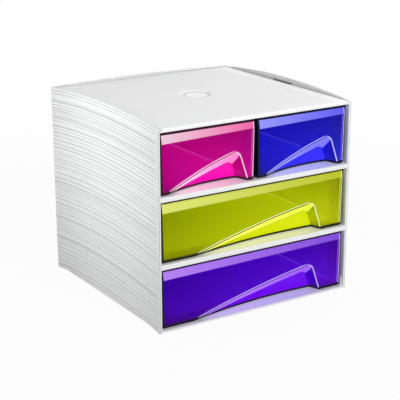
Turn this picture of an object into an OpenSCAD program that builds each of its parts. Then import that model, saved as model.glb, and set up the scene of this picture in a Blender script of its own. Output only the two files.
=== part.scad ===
// Desk drawer tower: a white moulded casing with two half-width drawers over two full-width ones.
// Axes: X to the right, Y to the back, Z up. The drawers open towards -Y.
// The origin is on the ground, under the middle of the casing.

/* [Casing] */
// Width over the two side panels
casing_w = 180; // [150:1:240]
// Depth from the front edges to the back panel
casing_d = 179.5; // [150:0.5:240]
// Thickness of a side panel over its ribs
side_t = 2.2; // [2:0.1:3]
// Thickness of the back panel over its ribs
back_t = 2.2; // [2:0.1:3]
// Outer radius of the two rear corners
corner_r = 3.5; // [3.5:0.5:8]
// Rise of a side panel's arched top edge above its ends
arch_rise = 4.8; // [3:0.1:8]
// Rise of the back panel's arched top edge above the rear corners
back_rise = 1.9; // [1:0.1:4]
// Length of the flat foot at each end of a side panel
foot_len = 5; // [4:0.5:10]
// Depth of the tongues by which the plates sit in the panels
tongue_d = 0.8; // [0.5:0.1:1]
// Clearance all round a tongue in its groove
tongue_fit = 0.05; // [0.02:0.01:0.1]
// Depth of the hairline joint marks on the panels' front edges
mark_d = 0.3; // [0.2:0.1:0.5]
// Height of a hairline joint mark
mark_h = 0.3; // [0.2:0.1:0.5]

/* [Levels] */
// Clear height of each drawer bay
bay_h = 49.2; // [40:0.1:70]
// Height of a shelf's front edge, lip included
shelf_edge_h = 3.9; // [3.4:0.1:6]
// Thickness of a shelf behind its lip
shelf_t = 2.2; // [1.6:0.1:2.6]
// Height of the top panel's front edge, lip included
top_edge_h = 2.7; // [2.6:0.1:5]
// Thickness of the top panel behind its lip
top_t = 1.6; // [1.4:0.1:1.8]
// Depth from front to back of the lips under the top panel and the shelves
lip_d = 2.4; // [1.6:0.1:3]
// Gap between the base panel and the ground
base_clear = 0.5; // [0.3:0.1:1.5]
// Thickness of the base panel
base_t = 1.5; // [1.2:0.1:3]
// Height of the upstand round the base panel, over its underside
upstand_h = 8.5; // [7:0.5:12]
// Thickness of that upstand
upstand_t = 0.8; // [0.8:0.1:1]
// Thickness of the divider between the two half-width bays
divider_t = 1; // [1:0.1:3]
// Distance from the drawer fronts back to the divider's front edge
divider_setback = 9; // [0.5:0.5:12]

/* [Ribs] */
// Mean height of the layers on the outer faces
rib_pitch = 3; // [2.4:0.1:5]
// Depth of the grooves between the layers
rib_depth = 0.5; // [0.3:0.05:0.6]
// Height of a groove at its mouth
rib_gap = 0.5; // [0.3:0.1:0.7]
// How unequal the layers are: 0 makes them all alike
rib_variation = 0.5; // [0:0.05:0.6]
// How far the flattest layers stand back, as a share of the groove depth
rib_step = 0.5; // [0:0.1:0.8]
// Width of the smooth strip along a side panel's front edge
front_strip = 2.8; // [1:0.1:6]
// Start of the sequence of layer heights
rib_seed = 7; // [1:1:99]

/* [Top panel] */
// Diameter of the shallow dish in the middle of the top
dish_d = 29; // [26:0.5:60]
// Diameter of the dish's flat floor
dish_floor_d = 20; // [10:0.5:24]
// Depth of the dish
dish_depth = 0.8; // [0.3:0.1:0.9]
// Radius of the cove between the top and the side panels
cove_r = 1.2; // [1:0.1:6]
// Radius of the top panel's rounded front edge
nose_r = 1.6; // [0.4:0.1:2]
// Radius of the shelves' rounded front edges
shelf_nose_r = 0.8; // [0.4:0.1:1]
// Length of the stacking slots beside the side panels
slot_l = 27; // [10:1:60]
// Width of the stacking slots
slot_w = 1.4; // [1:0.1:2]

/* [Drawers] */
// Thickness of a drawer's side and rear walls
wall_t = 1.6; // [1.2:0.1:2.4]
// Thickness of a drawer's front
front_t = 2; // [1.6:0.1:3]
// Thickness of a drawer's floor
floor_t = 1.8; // [1.4:0.1:3]
// Distance from the casing's front edges back to the drawer fronts
setback = 3.5; // [3:0.1:8]
// Gap between a drawer's top edge and the wall beside it
side_gap = 0.4; // [0.3:0.05:1.5]
// Gap between a drawer front and the lip above it
top_gap = 0.5; // [0.3:0.05:1.5]
// Gap between a drawer's underside and the plate it runs on
run_gap = 0.3; // [0.2:0.05:0.5]
// Gap between a drawer's rear wall and the back panel
rear_gap = 2; // [1.6:0.1:6]
// How much narrower a drawer is on each side at its foot
draft = 0.9; // [0.9:0.05:2]
// Radius of the drawers' lower edges
foot_r = 1.6; // [1:0.1:2.5]
// Radius of the drawers' upright edges
upright_r = 1; // [1:0.1:4]
// Height of the sloped band along the top of a drawer front
band_h = 8; // [4:0.5:14]
// How far that band leans back
band_lean = 1.5; // [0.2:0.1:1.8]
// How far the side and rear walls stop below the front's top edge
wall_drop = 1.5; // [0:0.1:10]
// How far a drawer pulls out before its stop lugs meet the lip
travel = 120; // [60:1:130]
// Height of the stop lugs above the lip's lower edge
lug_rise = 0.8; // [0.4:0.05:0.8]
// Length of a stop lug, half of it ramp
lug_len = 26; // [14:1:30]

/* [Finger recesses] */
// Height of a recess at its peak, on the drawer front
recess_h = 24; // [12:0.5:34]
// Depth of a half-width drawer's recess
half_recess_d = 12; // [8:0.5:20]
// Depth of a full-width drawer's recess
full_recess_d = 10.5; // [8:0.5:20]
// Distance from a half-width drawer's left edge to its recess
half_recess_left = 7.5; // [5:0.5:15]
// Distance from a half-width drawer's right edge to its recess
half_recess_right = 6.5; // [5:0.5:15]
// Distance from a full-width drawer's left edge to its recess
full_recess_left = 30; // [10:1:40]
// Distance from a full-width drawer's right edge to its recess
full_recess_right = 22; // [10:1:40]
// Radius of the rounded peak
peak_r = 6; // [3:0.5:9]
// Slope of the recess roof, down towards the back
roof_slope = 42; // [30:1:50]
// Slope of the recess's right-hand end
end_slope = 71; // [60:1:80]
// Bulge of the long rising edge above a straight line
rise_bulge = 1.5; // [0.5:0.1:3]

/* [Hidden] */
$fn = 96;
ARC_FN = 720;     // large arches
OVER = 10;        // how far cutting shapes reach past what they cut
ARCH_SWEEP = 20;  // degrees turned by an arched panel before its ends are trimmed
FOOT_STEPS = 8;   // flats round a drawer's lower edges
RISE_STEPS = 16;  // flats along a finger recess's long edge
PEAK_STEPS = 18;  // flats round its peak

// Inner faces of the casing, as half-width and half-depth
in_x = casing_w / 2 - side_t;
in_y = casing_d / 2 - back_t;
front_y = -casing_d / 2;
lip_y = front_y + lip_d;

// Levels, from the ground up
base_top = base_clear + base_t;
lower_shelf_z = base_top + bay_h;
lower_shelf_top = lower_shelf_z + shelf_edge_h;
upper_shelf_z = lower_shelf_top + bay_h;
upper_shelf_top = upper_shelf_z + shelf_edge_h;
top_lip_z = upper_shelf_top + bay_h;
corner_h = top_lip_z + top_edge_h;

// The side panels' arches all turn about one line below the ground, parallel to X
end_y = casing_d / 2;
bend_y = casing_d / 2 - corner_r;
arch_r = (end_y * end_y + arch_rise * arch_rise) / (2 * arch_rise);
arch_z = corner_h + arch_rise - arch_r;

// The back panel's arches turn about a line parallel to Y, and meet the corners at the same heights
bend_x = casing_w / 2 - corner_r;
bend_top = arch_z + sqrt(arch_r * arch_r - bend_y * bend_y);
back_arch_r = (bend_x * bend_x + back_rise * back_rise) / (2 * back_rise);
back_arch_z = bend_top + back_rise - back_arch_r;

// The arches' lower edges reach the ground where the flat feet begin
foot_y = casing_d / 2 - foot_len;
foot_drop = sqrt(foot_y * foot_y + arch_z * arch_z - bend_y * bend_y) + arch_z;

// Layers: their heights at the rear corners, from the top down
layers = round(bend_top / rib_pitch);
jitter = rands(1 - rib_variation, 1 + rib_variation, layers, rib_seed);
lean_in = rands(0, rib_step, layers, rib_seed + 1);
WIDE_LAYER = 2;    // this one is a wide smooth band
WIDE_WEIGHT = 2.2; // this many times as high as a mean layer
weight = [for (i = [0:layers - 1]) i == WIDE_LAYER ? WIDE_WEIGHT : jitter[i]];
function sum_to(v, n, i = 0, acc = 0) = i >= n ? acc : sum_to(v, n, i + 1, acc + v[i]);
total_weight = sum_to(weight, layers);
layer_z = [for (i = [0:layers]) bend_top - (bend_top - foot_drop) * sum_to(weight, i) / total_weight];

// Radii at which the layer boundaries cross the side and back panels
side_rs = [for (z = layer_z) sqrt(bend_y * bend_y + pow(z - arch_z, 2))];
back_rs = [for (z = layer_z) sqrt(bend_x * bend_x + pow(z - back_arch_z, 2))];

// Drawers
drawer_h = bay_h - run_gap - top_gap;
drawer_y0 = front_y + setback;
drawer_y1 = in_y - rear_gap;
drawer_d = drawer_y1 - drawer_y0;
full_w = 2 * (in_x - side_gap);
half_w = in_x - divider_t / 2 - 2 * side_gap;
half_x = divider_t / 2 + side_gap + half_w / 2;
draft_angle = atan(draft / drawer_h);
lug_top = bay_h + lug_rise - run_gap;
lug_y = lip_y + travel + side_gap;

// Points of an arc about c, from angle a0 to a1, in steps equal parts
function arc(c, r, a0, a1, steps) = [
    for (i = [0:steps])
        let (a = a0 + (a1 - a0) * i / steps)
            c + r * [cos(a), sin(a)]
];

// Stands a side view, drawn as depth and height, across the width of the casing
module across()
    translate([-casing_w / 2, 0, 0])
        rotate([90, 0, 90])
            linear_extrude(height = casing_w)
                children();

// Stands a front view, drawn as width and height, along the depth of the casing
module along()
    translate([0, casing_d, 0])
        rotate([90, 0, 0])
            linear_extrude(height = 2 * casing_d)
                children();

// ---- casing ------------------------------------------------------------------------------------

// Section of a panel: rs are the layer boundaries from the top down, t its thickness.
// Each layer's face stands a little back or forward, with a groove between it and the next.
function ribbed_section(rs, t) = [
    [rs[0], 0],
    for (i = [0:layers - 1]) each [
        [rs[i] - (i == 0 ? 0 : rib_gap / 2), t - rib_depth * lean_in[i]],
        [rs[i + 1] + (i == layers - 1 ? 0 : rib_gap / 2), t - rib_depth * lean_in[i]],
        if (i < layers - 1) [rs[i + 1], t - rib_depth],
    ],
    [rs[layers], 0],
];

function plain_section(rs, t) = [[rs[0], 0], [rs[0], t], [rs[layers], t], [rs[layers], 0]];

// Turns a section about the side panels' arch line. Its own Y points to +X.
module side_arch(section)
    translate([0, 0, arch_z])
        rotate([90, 0, 90])
            rotate([0, 0, 90 - ARCH_SWEEP / 2])
                rotate_extrude(angle = ARCH_SWEEP, $fn = ARC_FN)
                    polygon(section);

// Turns a section about the back panel's arch line. Its own Y points to +Y.
module back_arch(section)
    translate([0, 0, back_arch_z])
        rotate([90, 0, 180])
            rotate([0, 0, 90 - ARCH_SWEEP / 2])
                rotate_extrude(angle = ARCH_SWEEP, $fn = ARC_FN)
                    polygon(section);

// The part of the space over the ground between two depths, wide enough for any panel
module depth_slice(y0, y1)
    translate([-casing_w, y0, 0])
        cube([2 * casing_w, y1 - y0, 2 * corner_h]);

// The rounded rear corner of the right panel, with the layers turned round it
module rear_corner() {
    section = ribbed_section(layer_z, side_t);
    intersection() {
        translate([bend_x, bend_y, 0])
            rotate_extrude(angle = 90)
                polygon([for (p = section) [corner_r - side_t + p[1], p[0]]]);
        depth_slice(bend_y - OVER, end_y + OVER);
    }
}

// Groove in the right panel for a plate's side tongue
module side_groove(z, t)
    translate([in_x - OVER, lip_y - tongue_fit, z - tongue_fit])
        cube([OVER + tongue_d + tongue_fit, bend_y - lip_y - tongue_d + 2 * tongue_fit, t + 2 * tongue_fit]);

// Groove in the back panel for a plate's rear tongue
module back_groove(z, t)
    translate([-bend_x + tongue_d - tongue_fit, in_y - OVER, z - tongue_fit])
        cube([2 * (bend_x - tongue_d + tongue_fit), OVER + tongue_d + tongue_fit, t + 2 * tongue_fit]);

// Levels of the plates that sit in grooves: underside and thickness
plates = [
    [corner_h - top_t, top_t],
    [upper_shelf_top - shelf_t, shelf_t],
    [lower_shelf_top - shelf_t, shelf_t],
];

// The right side panel: arched, ribbed outside, with a smooth strip along its front edge
module side_panel() {
    difference() {
        union() {
            translate([in_x, 0, 0])
                intersection() {
                    side_arch(ribbed_section(side_rs, side_t));
                    depth_slice(front_y + front_strip, bend_y);
                }
            translate([in_x, 0, 0])
                intersection() {
                    side_arch(plain_section(side_rs, side_t));
                    depth_slice(front_y, front_y + front_strip);
                }
            rear_corner();
        }
        for (p = plates)
            side_groove(p[0], p[1]);
        for (z = [upper_shelf_z, lower_shelf_z])
            translate([in_x - OVER, front_y - OVER, z + shelf_edge_h / 2 - mark_h / 2])
                cube([side_t + 2 * OVER, OVER + mark_d, mark_h]);
    }
}

module right_side_panel()
    color("whitesmoke")
        side_panel();

module left_side_panel()
    color("whitesmoke")
        mirror([1, 0, 0])
            side_panel();

module back_panel()
    color("whitesmoke")
        difference() {
            intersection() {
                translate([0, in_y, 0])
                    back_arch(ribbed_section(back_rs, back_t));
                translate([-bend_x, in_y - OVER, 0])
                    cube([2 * bend_x, back_t + 2 * OVER, 2 * corner_h]);
            }
            for (p = plates)
                back_groove(p[0], p[1]);
        }

// Outline of a plate that fills the casing, with rear corners that fit inside the bends
module plate_outline(tongues = true) {
    inner_r = corner_r - side_t;
    translate([-in_x, front_y])
        square([2 * in_x, bend_y - front_y]);
    translate([-bend_x, bend_y - OVER])
        square([2 * bend_x, in_y - bend_y + OVER]);
    for (s = [-1, 1])
        translate([s * bend_x, bend_y])
            circle(r = inner_r);
    if (tongues) {
        translate([-in_x - tongue_d, lip_y])
            square([2 * (in_x + tongue_d), bend_y - lip_y - tongue_d]);
        translate([-bend_x + tongue_d, bend_y - OVER])
            square([2 * (bend_x - tongue_d), in_y + tongue_d - bend_y + OVER]);
    }
}

// The lip under a plate's front edge, from z up to the plate
module front_lip(z, h)
    translate([-in_x, front_y, z])
        cube([2 * in_x, lip_d, h]);

// Cuts the front edge round on a plate whose top is at z
module nose_cut(z, r)
    across()
        difference() {
            translate([front_y - OVER, z - r])
                square([OVER + r, OVER + r]);
            translate([front_y + r, z - r])
                circle(r = r);
        }

// A fillet along the foot of the right panel, cut off below the panel's arched edge
module cove()
    intersection() {
        translate([in_x, end_y, corner_h])
            rotate([90, 0, 0])
                linear_extrude(height = casing_d - corner_r)
                    difference() {
                        translate([-cove_r, -top_t / 2])
                            square([cove_r, cove_r + top_t / 2]);
                        translate([-cove_r, cove_r])
                            circle(r = cove_r);
                    }
        side_arch([[arch_r - cove_r - arch_rise, 0], [arch_r - cove_r - arch_rise, casing_w],
            [arch_r - side_t / 4, casing_w], [arch_r - side_t / 4, 0]]);
        depth_slice(front_y + lip_d, bend_y);
    }

// Slot beside the right panel that takes the foot of a tower stacked on top
module stacking_slot()
    translate([in_x - slot_w, -slot_l / 2, corner_h - top_t - OVER])
        cube([slot_w, slot_l, cove_r + top_t + 2 * OVER]);

module top_panel()
    color("white")
        difference() {
            union() {
                translate([0, 0, corner_h - top_t])
                    linear_extrude(height = top_t)
                        plate_outline();
                front_lip(top_lip_z, top_edge_h);
                cove();
                mirror([1, 0, 0])
                    cove();
            }
            translate([0, 0, corner_h - dish_depth])
                cylinder(d1 = dish_floor_d, d2 = dish_d + (dish_d - dish_floor_d) * OVER / dish_depth,
                    h = dish_depth + OVER);
            stacking_slot();
            mirror([1, 0, 0])
                stacking_slot();
            nose_cut(corner_h, nose_r);
        }

// The base: a shallow tray whose upstand closes the arches of the panels round it
module base_panel()
    color("white")
        difference() {
            translate([0, 0, base_clear])
                linear_extrude(height = upstand_h)
                    plate_outline(false);
            translate([-in_x + upstand_t, front_y - OVER, base_top])
                cube([2 * (in_x - upstand_t), in_y - upstand_t - front_y + OVER, upstand_h]);
            translate([-casing_w, front_y - OVER, base_top])
                cube([2 * casing_w, lip_d + OVER, upstand_h]);
        }

module shelf(z)
    difference() {
        union() {
            translate([0, 0, z + shelf_edge_h - shelf_t])
                linear_extrude(height = shelf_t)
                    plate_outline();
            front_lip(z, shelf_edge_h);
        }
        nose_cut(z + shelf_edge_h, shelf_nose_r);
    }

module upper_shelf()
    color("white")
        shelf(upper_shelf_z);

module lower_shelf()
    color("white")
        shelf(lower_shelf_z);

// The divider between the half-width bays, up to the underside of the top panel
module centre_divider()
    color("white")
        translate([-divider_t / 2, drawer_y0 + divider_setback, upper_shelf_top])
            cube([divider_t, in_y - drawer_y0 - divider_setback, corner_h - top_t - upper_shelf_top]);

// ---- drawers -----------------------------------------------------------------------------------

// Front view of a drawer: w wide at the top and narrower at the foot, with rounded lower corners.
// inset makes the same outline smaller on the sides, and foot lifts its lower edge.
module drawer_front_view(w, inset, foot) {
    low_w = w / 2 - draft + foot * tan(draft_angle) - inset / cos(draft_angle);
    top_w = w / 2 - inset / cos(draft_angle);
    r = max(foot_r - inset, foot_r / 4);
    cx = low_w - r * (1 - sin(draft_angle)) / cos(draft_angle);
    over = inset > 0 ? OVER : 0;
    right = concat(
        arc([cx, foot + r], r, -90, -draft_angle, FOOT_STEPS),
        [[top_w + over * tan(draft_angle), drawer_h + over]]
    );
    last = len(right) - 1;
    polygon(concat(right, [for (i = [0:last]) [-right[last - i][0], right[last - i][1]]]));
}

// Plan view of a drawer, with rounded upright edges
module drawer_plan(w, inset_side, inset_front) {
    r = max(upright_r - inset_side, upright_r / 4);
    x = w / 2 - inset_side;
    y0 = drawer_y0 + inset_front;
    y1 = drawer_y1 - inset_side;
    translate([-x + r, y0])
        square([2 * (x - r), y1 - y0]);
    translate([-x, y0 + r])
        square([2 * x, y1 - y0 - 2 * r]);
    for (sx = [-1, 1], y = [y0 + r, y1 - r])
        translate([sx * (x - r), y])
            circle(r = r);
}

// Side view of a drawer: the front with its sloped band, the lower walls and the stop lugs
module drawer_side_view() {
    wall_top = drawer_h - wall_drop;
    polygon([
        [drawer_y0, 0],
        [drawer_y0, drawer_h - band_h],
        [drawer_y0 + band_lean, drawer_h],
        [drawer_y0 + band_lean + front_t, drawer_h],
        [drawer_y0 + band_lean + front_t, wall_top],
        [lug_y, wall_top],
        [lug_y, lug_top],
        [lug_y + lug_len / 2, lug_top],
        [lug_y + lug_len, wall_top],
        [drawer_y1, wall_top],
        [drawer_y1, 0],
    ]);
}

// The inner face of a drawer front, as the side view of all that lies behind it
module behind_front_view()
    polygon([
        [drawer_y0 + front_t, -OVER],
        [drawer_y0 + front_t, drawer_h - band_h],
        [drawer_y0 + front_t + band_lean * (1 + OVER / band_h), drawer_h + OVER],
        [drawer_y1 + OVER, drawer_h + OVER],
        [drawer_y1 + OVER, -OVER],
    ]);

module drawer_block(w)
    intersection() {
        along()
            drawer_front_view(w, 0, 0);
        translate([0, 0, -OVER])
            linear_extrude(height = drawer_h + 2 * OVER)
                drawer_plan(w, 0, 0);
        across()
            drawer_side_view();
    }

module drawer_cavity(w)
    intersection() {
        along()
            drawer_front_view(w, wall_t, floor_t);
        translate([0, 0, -OVER])
            linear_extrude(height = drawer_h + 3 * OVER)
                drawer_plan(w, wall_t, front_t);
        across()
            behind_front_view();
    }

// The recess's outline, square to its sloping roof: a long bulging rise from the origin to a
// rounded peak, then a steep end that comes down at x = len. grow moves it outwards.
// Heights on the drawer front are longer than in this view, by the slope of the roof.
module recess_outline(len, grow) {
    lean = cos(roof_slope);
    steep = atan(tan(end_slope) * lean);
    peak = [
        len - peak_r * sin(steep) - (recess_h * lean - peak_r + peak_r * cos(steep)) / tan(steep),
        recess_h * lean - peak_r,
    ];
    span = norm(peak);
    rise_r = span * span / (8 * rise_bulge);
    // The rise is an arc through the origin that meets the peak's circle without a corner
    along_span = (rise_r * rise_r - pow(rise_r - peak_r, 2) + span * span) / (2 * span);
    below_span = sqrt(rise_r * rise_r - along_span * along_span);
    unit = peak / span;
    rise_c = [unit[0] * along_span + unit[1] * below_span, unit[1] * along_span - unit[0] * below_span];
    meet = atan2(peak[1] - rise_c[1], peak[0] - rise_c[0]);
    foot = 180 - asin((-OVER - rise_c[1]) / (rise_r + grow));
    end_t = peak + (peak_r + grow) * [sin(steep), cos(steep)];
    end_len = (end_t[1] + OVER) / sin(steep);
    polygon(concat(
        arc(rise_c, rise_r + grow, foot, meet, RISE_STEPS),
        arc(peak, peak_r + grow, meet - (meet - 90 + steep) / PEAK_STEPS, 90 - steep, PEAK_STEPS - 1),
        [end_t + end_len * [cos(steep), -sin(steep)]]
    ));
}

// The space of a recess that starts at x0 on the drawer front and is len wide and deep deep.
// Its curved rear wall is an arc in plan. grow thickens it all round.
module recess_block(x0, len, deep, grow) {
    far = 0.75 * len;
    plan_r = (far * far + deep * deep) / (2 * deep);
    translate([x0, drawer_y0, 0])
        intersection() {
            translate([far, deep - plan_r, -OVER])
                cylinder(r = plan_r + grow, h = recess_h + 2 * OVER, $fn = ARC_FN);
            rotate([90 - roof_slope, 0, 0])
                linear_extrude(height = 4 * (deep + recess_h), center = true)
                    recess_outline(len, grow);
            translate([-OVER, -OVER, -OVER])
                cube([len + 2 * OVER, deep + 2 * OVER, recess_h + 2 * OVER]);
        }
}

// A whole drawer in one moulding, w wide, with its recess left and right of the given margins
module drawer(w, deep, left, right) {
    x0 = left - w / 2;
    len = w - left - right;
    difference() {
        drawer_block(w);
        difference() {
            drawer_cavity(w);
            recess_block(x0, len, deep, wall_t);
        }
        recess_block(x0, len, deep, 0);
    }
}

module half_drawer()
    drawer(half_w, half_recess_d, half_recess_left, half_recess_right);

module full_drawer()
    drawer(full_w, full_recess_d, full_recess_left, full_recess_right);

module upper_left_drawer()
    color("deeppink", 0.7)
        translate([-half_x, 0, upper_shelf_top + run_gap])
            half_drawer();

module upper_right_drawer()
    color("mediumblue", 0.7)
        translate([half_x, 0, upper_shelf_top + run_gap])
            half_drawer();

module middle_drawer()
    color("yellowgreen", 0.7)
        translate([0, 0, lower_shelf_top + run_gap])
            full_drawer();

module bottom_drawer()
    color("blueviolet", 0.7)
        translate([0, 0, base_top + run_gap])
            full_drawer();

left_side_panel();
right_side_panel();
back_panel();
top_panel();
base_panel();
upper_shelf();
lower_shelf();
centre_divider();
upper_left_drawer();
upper_right_drawer();
middle_drawer();
bottom_drawer();
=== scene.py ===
from math import asin, atan, atan2, cos, hypot, pi, radians, sin, sqrt, tan

import bmesh
import bpy
import numpy as np
from mathutils import Matrix, Vector


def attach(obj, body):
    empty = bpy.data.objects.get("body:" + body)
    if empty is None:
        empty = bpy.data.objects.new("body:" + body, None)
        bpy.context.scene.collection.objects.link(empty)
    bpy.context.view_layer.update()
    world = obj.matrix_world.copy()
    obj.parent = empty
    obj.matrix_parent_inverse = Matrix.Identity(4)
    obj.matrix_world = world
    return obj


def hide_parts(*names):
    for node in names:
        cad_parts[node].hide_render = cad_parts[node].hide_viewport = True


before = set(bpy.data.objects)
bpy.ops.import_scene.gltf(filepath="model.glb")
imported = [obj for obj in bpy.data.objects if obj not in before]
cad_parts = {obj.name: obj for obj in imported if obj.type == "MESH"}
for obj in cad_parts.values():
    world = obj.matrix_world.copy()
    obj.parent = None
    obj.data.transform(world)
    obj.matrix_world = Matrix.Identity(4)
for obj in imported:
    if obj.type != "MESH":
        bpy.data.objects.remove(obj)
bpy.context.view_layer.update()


# ---- side panels and back panel --------------------------------------------------------------
# Three walls moulded in white polystyrene, with outer faces like the edges of stacked sheets.
# Their top and bottom edges are parts of large circles, so the layers between are arches too.
# The side panels carry the rounded rear corners, and the back panel stands between them.

class Wire:
    """A socket of a node tree. Arithmetic on it adds Math nodes, and node() adds any other."""

    def __init__(self, tree, socket=None):
        self.tree, self.socket = tree, socket

    def node(self, kind, settings=None, inputs=None, output=0):
        made = self.tree.nodes.new(kind)
        for name, value in (settings or {}).items():
            if name == "stops":
                elements = made.color_ramp.elements
                while len(elements) < len(value):
                    elements.new(1.0)
                for element, (position, shade) in zip(elements, value):
                    element.position, element.color = position, (*shade, 1.0)
            else:
                setattr(made, name, value)
        for name, value in (inputs or {}).items():
            if isinstance(value, Wire):
                self.tree.links.new(value.socket, made.inputs[name])
            else:
                made.inputs[name].default_value = value
        return Wire(self.tree, made.outputs[output] if made.outputs else None)

    def math(self, operation, *values):
        return self.node("ShaderNodeMath", {"operation": operation}, dict(enumerate(values)))

    def __add__(self, other): return self.math("ADD", self, other)
    def __radd__(self, other): return self.math("ADD", other, self)
    def __sub__(self, other): return self.math("SUBTRACT", self, other)
    def __rsub__(self, other): return self.math("SUBTRACT", other, self)
    def __mul__(self, other): return self.math("MULTIPLY", self, other)
    def __rmul__(self, other): return self.math("MULTIPLY", other, self)
    def __truediv__(self, other): return self.math("DIVIDE", self, other)
    def __lt__(self, other): return self.math("LESS_THAN", self, other)
    def least(self, other): return self.math("MINIMUM", self, other)
    def most(self, other): return self.math("MAXIMUM", self, other)
    def root(self): return self.math("SQRT", self)
    def size(self): return self.math("ABSOLUTE", self)
    def floor(self): return self.math("FLOOR", self)
    def sine(self): return self.math("SINE", self)
    def cosine(self): return self.math("COSINE", self)


def parts(vector):
    """The three numbers of a vector's socket."""
    split = vector.node("ShaderNodeSeparateXYZ", None, {0: vector}).socket.node
    return [Wire(vector.tree, socket) for socket in split.outputs]


def spaced(start, end, count):
    """Evenly spaced values from start to end, both of them among the count."""
    return [start + (end - start) * i / (count - 1) for i in range(count)]


CASING_W, CASING_D = 180.0, 179.5
PANEL_T = 2.2
CORNER_R = 3.5
RIB_DEPTH = 0.5
RIB_ABOVE, RIB_BELOW = 0.25, 1.1    # how far above and below a groove the faces are full
FRONT_STRIP = 2.8       # the smooth strip along a side panel's front edge
FRONT_ROUND = 0.7       # rounding of that edge
TOP_ROUND = 0.6         # rounding of the arched top edges
CORNER_H = 160.1        # the height at both ends of a side panel's arch
ARCH_RISE, BACK_RISE = 4.8, 1.9     # how far each arch rises above its two ends

in_x = CASING_W / 2 - PANEL_T
in_y = CASING_D / 2 - PANEL_T
front_y = -CASING_D / 2
bend_x = CASING_W / 2 - CORNER_R
bend_y = CASING_D / 2 - CORNER_R
end_y = CASING_D / 2
arch_r = (end_y ** 2 + ARCH_RISE ** 2) / (2 * ARCH_RISE)
arch_z = CORNER_H + ARCH_RISE - arch_r
bend_top = arch_z + sqrt(arch_r ** 2 - bend_y ** 2)
back_arch_r = (bend_x ** 2 + BACK_RISE ** 2) / (2 * BACK_RISE)
back_arch_z = bend_top + BACK_RISE - back_arch_r

SAME = 0.01     # lengths this close are the same
THINNEST_LAYER = 0.2


def layers_of_solid():
    """Heights of the grooves at the rear corner, from the top down, and each layer's face."""
    outline = set()
    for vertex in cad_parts["right_side_panel"].data.vertices:
        x, y, z = (1000 * c for c in vertex.co)
        if abs(y - bend_y) < SAME and x > in_x + 1:
            outline.add((round(z, 3), round(x - in_x, 3)))
    outline = sorted(outline, reverse=True)
    joints = [outline[0][0]]
    faces = []
    face = 0
    for z, out in outline:
        if out < PANEL_T - RIB_DEPTH + SAME and z < joints[-1] - THINNEST_LAYER:
            joints.append(z)
            faces.append(face)
            face = 0
        face = max(face, out)
    joints.append(outline[-1][0])
    faces.append(face)
    return joints, faces


def wall_section(radii, faces):
    """The closed section of a wall: (out from the inner face, the same where smooth, radius)."""
    turns = spaced(0, pi / 2, 5)
    rim = [(TOP_ROUND * (1 - cos(a)), TOP_ROUND * (1 - sin(a))) for a in turns]
    rim += [(PANEL_T - TOP_ROUND * (1 - sin(a)), TOP_ROUND * (1 - cos(a))) for a in turns[1:]]
    points = [(out, out, radii[0] - drop) for out, drop in rim]
    low = PANEL_T - RIB_DEPTH
    shares = (0.06, 0.25, 0.6, 1.0)
    for i, face in enumerate(faces):
        high_r, low_r = radii[i], radii[i + 1]
        # A thin layer keeps a tenth of its height flat between its two roundings
        below = min(RIB_BELOW, (high_r - low_r) * 0.6)
        above = min(RIB_ABOVE, (high_r - low_r) * 0.3)
        edge = [(low + (face - low) * sqrt(1 - (1 - s) ** 2), s) for s in shares]
        if i > 0:
            points += [(out, PANEL_T, high_r - below * s) for out, s in edge]
        else:
            points.append((face, PANEL_T, high_r - TOP_ROUND - 0.3))
        points += [(out, PANEL_T, low_r + above * s) for out, s in reversed(edge)]
        if i < len(faces) - 1:
            points.append((low, PANEL_T, low_r))
    points += [(0, 0, radii[-1]), points[0]]
    return points


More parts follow.
